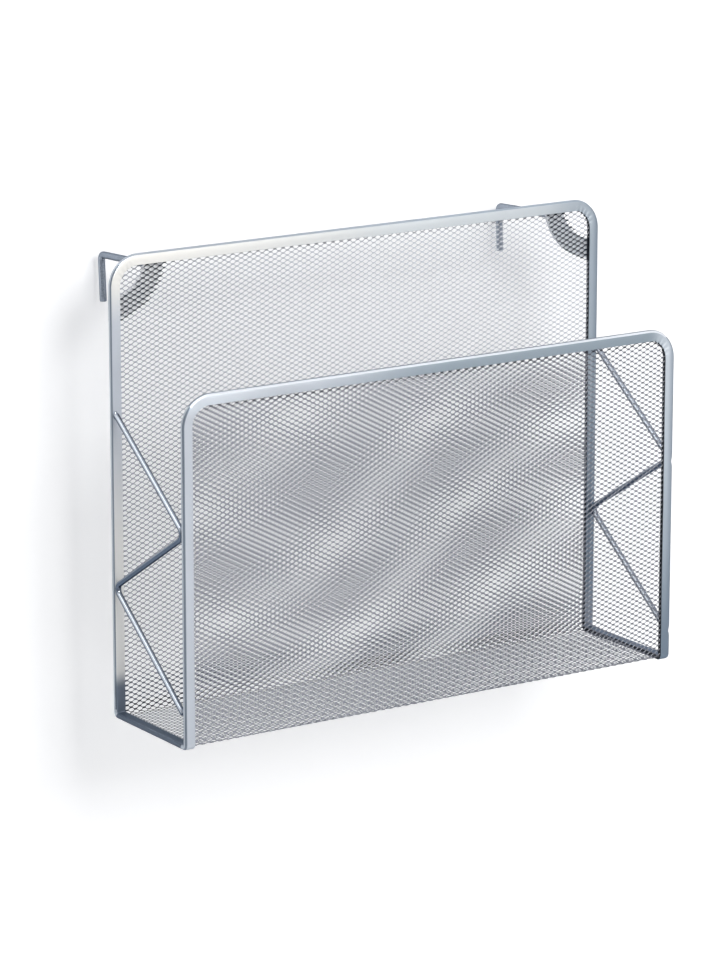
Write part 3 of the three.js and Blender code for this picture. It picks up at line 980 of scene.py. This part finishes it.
def build_stage():
    """The wall behind the holder and the floor far below it."""
    wall = white_card("wall_white", WALL_TONE, WALL_LIFT, True)
    floor = white_card("floor_pale", FLOOR_TONE, FLOOR_LIFT, False)
    reach, low = STAGE_REACH, -FLOOR_DROP
    stage_card("wall", [(-reach, WALL_GAP, low), (reach, WALL_GAP, low),
                        (reach, WALL_GAP, reach), (-reach, WALL_GAP, reach)], wall)
    stage_card("floor", [(-reach, -reach, low), (reach, -reach, low),
                         (reach, reach, low), (-reach, reach, low)], floor)


# The soft light all round: its colour, the way in which it grows, and where and how much.
WORLD_COLOUR = (0.93, 0.95, 1, 1)
WORLD_WAY = (0.55, 0.0, 0.8)
WORLD_DIM_AT = -0.1
WORLD_BRIGHT_AT = 0.8
WORLD_DIM = 0.40
WORLD_BRIGHT = 0.75


def build_world():
    """Soft light from above and the right, dimmer from below and the left."""
    world = bpy.data.worlds.new("studio")
    bpy.context.scene.world = world
    world.use_nodes = True
    tree = world.node_tree
    fill = tree.nodes["Background"]
    fill.inputs["Color"].default_value = WORLD_COLOUR
    way = node(tree, "ShaderNodeTexCoord").outputs["Generated"]
    strength = node(tree, "ShaderNodeMapRange")
    strength.inputs["From Min"].default_value = WORLD_DIM_AT
    strength.inputs["From Max"].default_value = WORLD_BRIGHT_AT
    strength.inputs["To Min"].default_value = WORLD_DIM
    strength.inputs["To Max"].default_value = WORLD_BRIGHT
    tree.links.new(along(tree, way, WORLD_WAY), strength.inputs["Value"])
    tree.links.new(strength.outputs["Result"], fill.inputs["Strength"])


# Lights: name, centre, what it points at, width and height, power in watts and colour.
LIGHTS = (("key", (-150, -3900, 2200), (0, 0, 130), (1700, 1300), 94, (1, 1, 1)),
          ("card", (430, -900, 260), (-60, 0, 240), (360, 300), 0.6, (1, 0.95, 0.87)),
          ("overhead", (-820, -60, 1250), (0, -40, 100), (500, 300), 1.6, (1, 1, 1)))


def area_light(name, centre, target, size, power, colour):
    """One soft rectangular light."""
    data = bpy.data.lights.new(name, "AREA")
    data.shape = "RECTANGLE"
    data.size, data.size_y = size[0] * MM, size[1] * MM
    data.energy = power
    data.color = colour
    lamp = bpy.data.objects.new(name, data)
    bpy.context.scene.collection.objects.link(lamp)
    start, end = Vector(place(centre)), Vector(place(target))
    lamp.location = start
    lamp.rotation_mode = "QUATERNION"
    lamp.rotation_quaternion = (end - start).to_track_quat("-Z", "Y")


# The camera, fitted to the photograph's view of the rims. Its focus and frame are in pixels.
CAMERA_PLACE = (-1365.1, -2076.9, 729.5)
CAMERA_AZIMUTH = math.radians(-33.316)
CAMERA_ELEVATION = math.radians(13.909)
CAMERA_FOCUS = 4475.8
FRAME_WIDTH = 720
SENSOR = 36
CLIP_NEAR = 0.05
CLIP_FAR = 50


def build_camera():
    """The camera, at the photograph's place."""
    data = bpy.data.cameras.new("camera")
    data.sensor_fit = "HORIZONTAL"
    data.sensor_width = SENSOR
    data.lens = SENSOR * CAMERA_FOCUS / FRAME_WIDTH
    data.clip_start, data.clip_end = CLIP_NEAR, CLIP_FAR
    camera = bpy.data.objects.new("camera", data)
    bpy.context.scene.collection.objects.link(camera)
    camera.location = Vector(place(CAMERA_PLACE))
    forward = Vector((-math.sin(CAMERA_AZIMUTH) * math.cos(CAMERA_ELEVATION),
                      math.cos(CAMERA_AZIMUTH) * math.cos(CAMERA_ELEVATION),
                      -math.sin(CAMERA_ELEVATION)))
    camera.rotation_mode = "QUATERNION"
    camera.rotation_quaternion = forward.to_track_quat("-Z", "Y")
    bpy.context.scene.camera = camera


# Where painted light and shade change on the part: an axis, where a region starts on it, and where it
# is whole.
FRONT = ("Y", -DEPTH / 2, -DEPTH / 2 - 1)
BACK = ("Y", -DEPTH / 2 - 1, -DEPTH / 2)
BEHIND_FRONT = ("Y", -DEPTH + RIM_THICKNESS + 0.5, -DEPTH + RIM_THICKNESS + 1.5)
LEFT_RIM = ("X", -HALF + RIM_WIDTH + 2, -HALF + RIM_WIDTH)
RIGHT_RIM = ("X", HALF - RIM_WIDTH - 2, HALF - RIM_WIDTH)
FRONT_TOP = ("Z", FRONT_HEIGHT - 2 * RIM_WIDTH, FRONT_HEIGHT - RIM_WIDTH)
BACK_TOP = ("Z", BACK_HEIGHT - 2 * RIM_WIDTH, BACK_HEIGHT - RIM_WIDTH)
FOOT = ("Z", 28, 17)
FOOT_REGION = (BEHIND_FRONT, FOOT)
UPPER_MESH = (BACK, ("Z", 130, 205), ("X", -HALF - 40, HALF / 4))
BACK_FOLD = (("Y", -9, -7), ("Z", 9, 7))
UNDER_TOP = (FRONT, ("Z", FRONT_HEIGHT - 10, FRONT_HEIGHT - 8))
# Painted light and shade by region: the colour, its share and the region's spans.
RIM_REGIONS = (
    (TOP_RIGHT_PAINTED_LIGHT, 0.8, (BACK, BACK_TOP, ("X", -20, 40), ("X", 150, 115))),
    (LEFT_LOW_PAINTED_LIGHT, 0.95, (BACK, LEFT_RIM, ("Z", 180, 90))),
    (RIGHT_LOW_PAINTED_SHADE, 1.0, (BACK, RIGHT_RIM, ("Z", 200, 60))),
    (FRONT_TOP_PAINTED_SHADE, 0.9, (FRONT, FRONT_TOP, ("X", -90, 10))),
    (FRONT_PAINTED_LIGHT, 0.8, (FRONT, FRONT_TOP, ("X", -95, -150))),
    (FRONT_PAINTED_LIGHT, 0.85, (FRONT, ("X", HALF - 20, HALF - 4), ("Z", 40, 185))),
    (FRONT_LOW_PAINTED_SHADE, 1.0, (FRONT, RIGHT_RIM, ("Z", 80, 0))),
    (OUTER_PAINTED_SHADE, 0.6, (("X", HALF - 5, HALF - 1),)),
    (LOW_PAINTED_SHADE, 1.0, FOOT_REGION),
    (RIGHT_FOOT_PAINTED_SHADE, 1.0, (BEHIND_FRONT, RIGHT_RIM, ("Z", 10, 5))),
)
SHOULDER_REGIONS = ((SHOULDER_FOOT_PAINTED_SHADE, 1.0, FOOT_REGION),)
MESH_SHADOWS = ((MESH_PAINTED_SHADOW, 1.0, BACK_FOLD), (MESH_PAINTED_SHADOW, 0.8, UNDER_TOP))
MESH_REGIONS = (
    (BACK_FALLING_PAINTED_SHADE, 1.0, (BACK,)),
    (MESH_FOOT_PAINTED_SHADE, 1.0, FOOT_REGION),
    (MESH_UPPER_PAINTED_LIGHT, 1.0, UPPER_MESH),
    *MESH_SHADOWS,
)
RISING_REGIONS = (
    (BACK_RISING_PAINTED_SHADE, 1.0, (BACK,)),
    (RISING_FOOT_PAINTED_SHADE, 1.0, FOOT_REGION),
    (RISING_UPPER_PAINTED_LIGHT, 1.0, UPPER_MESH),
    *MESH_SHADOWS,
)
KNUCKLE_REGIONS = (
    (KNUCKLE_LEFT_PAINTED_LIGHT, 1.0, (("X", HALF / 2, -HALF / 2),)),
    (KNUCKLE_BACK_PAINTED_LIGHT, 1.0, (BACK,)),
    (MESH_FOOT_PAINTED_SHADE, 1.0, FOOT_REGION),
    (KNUCKLE_UPPER_PAINTED_LIGHT, 1.0, UPPER_MESH),
    *MESH_SHADOWS,
)
# Painted shade and light by side: the way faced, how far towards it the tone starts and is whole, and
# the colour.
WIRE_PAINTED_SIDE_SHADE = (((0, 0, 1), 0.42, 0.0, WIRE_UNDERSIDE_PAINTED_SHADE), ((1, 0, 0), -0.25, 0.2, WIRE_RIGHT_PAINTED_SHADE))
PLATE_SIDE_TONES = (((0, 1, 0), 0.1, 0.4, PLATE_REAR),)


def metal_sheet(paints):
    """The expanded sheet, in five pieces. Its paints are for its knuckles, and for its strands
    that fall and that rise to the right as the photograph shows them."""
    # The three paints are lit and shaded copies of one paint: painted shade on the knuckles and
    # falling strands, painted light on the rising ones.
    knuckle_shade_paint, falling_shaded, rising_lit_paint = paints
    cells = mesh_cells()
    s = uneven(cells[0] * MESH_LONG / 2, cells[1] * MESH_SHORT / 2)[1]
    fold_one = (BACK_END + BOTTOM_START) / 2
    fold_two = (BOTTOM_END + FRONT_START) / 2
    upper_back = fold_one / 2
    upper_front = (fold_two + FLAT_LENGTH) / 2
    stretches = (("back_mesh_upper", 0, upper_back, ["back_net"]),
                 ("back_mesh_lower", upper_back, fold_one, ["back_net"]),
                 ("bottom_mesh", fold_one, fold_two, ["bottom_net"]),
                 ("front_mesh_lower", fold_two, upper_front, ["front_net"]),
                 ("front_mesh_upper", upper_front, FLAT_LENGTH, ["front_net"]))
    for name, start, end, replaced in stretches:
        owned = (s >= start) & (s < end)
        # On the front, up the flat sheet is up, so the two kinds of strand change places.
        strands = (falling_shaded, rising_lit_paint)
        if start >= fold_two:
            strands = (rising_lit_paint, falling_shaded)
        mesh_piece(name, cells, owned, replaced, (knuckle_shade_paint, *strands))


def build_holder():
    """The paints, and then the holder's pieces."""
    rim_paint = paint("rim_paint", RIM_PAINT, RIM_FINISH, painted_shade=RIM_PAINTED_SHADE, top_highlight=TOP_PAINTED_HIGHLIGHT,
                      regions=RIM_REGIONS)
    shoulder_shade_paint = paint("shoulder_shade_paint", SHOULDER_PAINTED_SHADE, RIM_FINISH, regions=SHOULDER_REGIONS)
    painted_highlight = paint("painted_highlight", PAINTED_HIGHLIGHT_COLOUR, PAINTED_HIGHLIGHT_FINISH)
    edge_shade_paint = paint("edge_shade_paint", EDGE_PAINTED_SHADE, RIM_FINISH, painted_shade=RIM_PAINTED_SHADE)
    slot_shadow_paint = paint("slot_shadow_paint", SLOT_PAINTED_SHADOW, SLOT_FINISH)
    falling_shade_paint = paint("falling_shade_paint", FALLING_PAINTED_SHADE, MESH_FINISH, regions=MESH_REGIONS,
                       plate_shadow=PLATE_PAINTED_SHADOW)
    knuckle_shade_paint = paint("knuckle_shade_paint", KNUCKLE_PAINTED_SHADE, MESH_FINISH, regions=KNUCKLE_REGIONS,
                          plate_shadow=PLATE_PAINTED_SHADOW)
    rising_lit_paint = paint("rising_lit_paint", RISING_PAINTED_LIGHT, MESH_FINISH, regions=RISING_REGIONS,
                         plate_shadow=PLATE_PAINTED_SHADOW)
    wire_paint = paint("wire_paint", WIRE_PAINT, WIRE_FINISH, sides=WIRE_PAINTED_SIDE_SHADE)
    hook_paint = paint("hook_paint", HOOK_PAINT, HOOK_FINISH)
    plate_paint = paint("plate_paint", PLATE_FRONT_PAINTED_LIGHT, PLATE_FINISH, painted_shade=PLATE_PAINTED_SHADE,
                        sides=PLATE_SIDE_TONES)

    metal_sheet((knuckle_shade_paint, falling_shade_paint, rising_lit_paint))
    rim_strip((rim_paint, shoulder_shade_paint, edge_shade_paint, slot_shadow_paint, painted_highlight))
    for side in (-1, 1):
        dress(brace(side), wire_paint)
        dress(corner_plate(side), plate_paint)
        dress(hook(side), hook_paint)
    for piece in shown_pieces():
        if piece.name.endswith(("_welds", "_weld")):
            dress(piece, wire_paint)


bpy.context.scene.view_settings.view_transform = "Standard"
build_camera()
build_stage()
build_world()
for light in LIGHTS:
    area_light(*light)
build_holder()
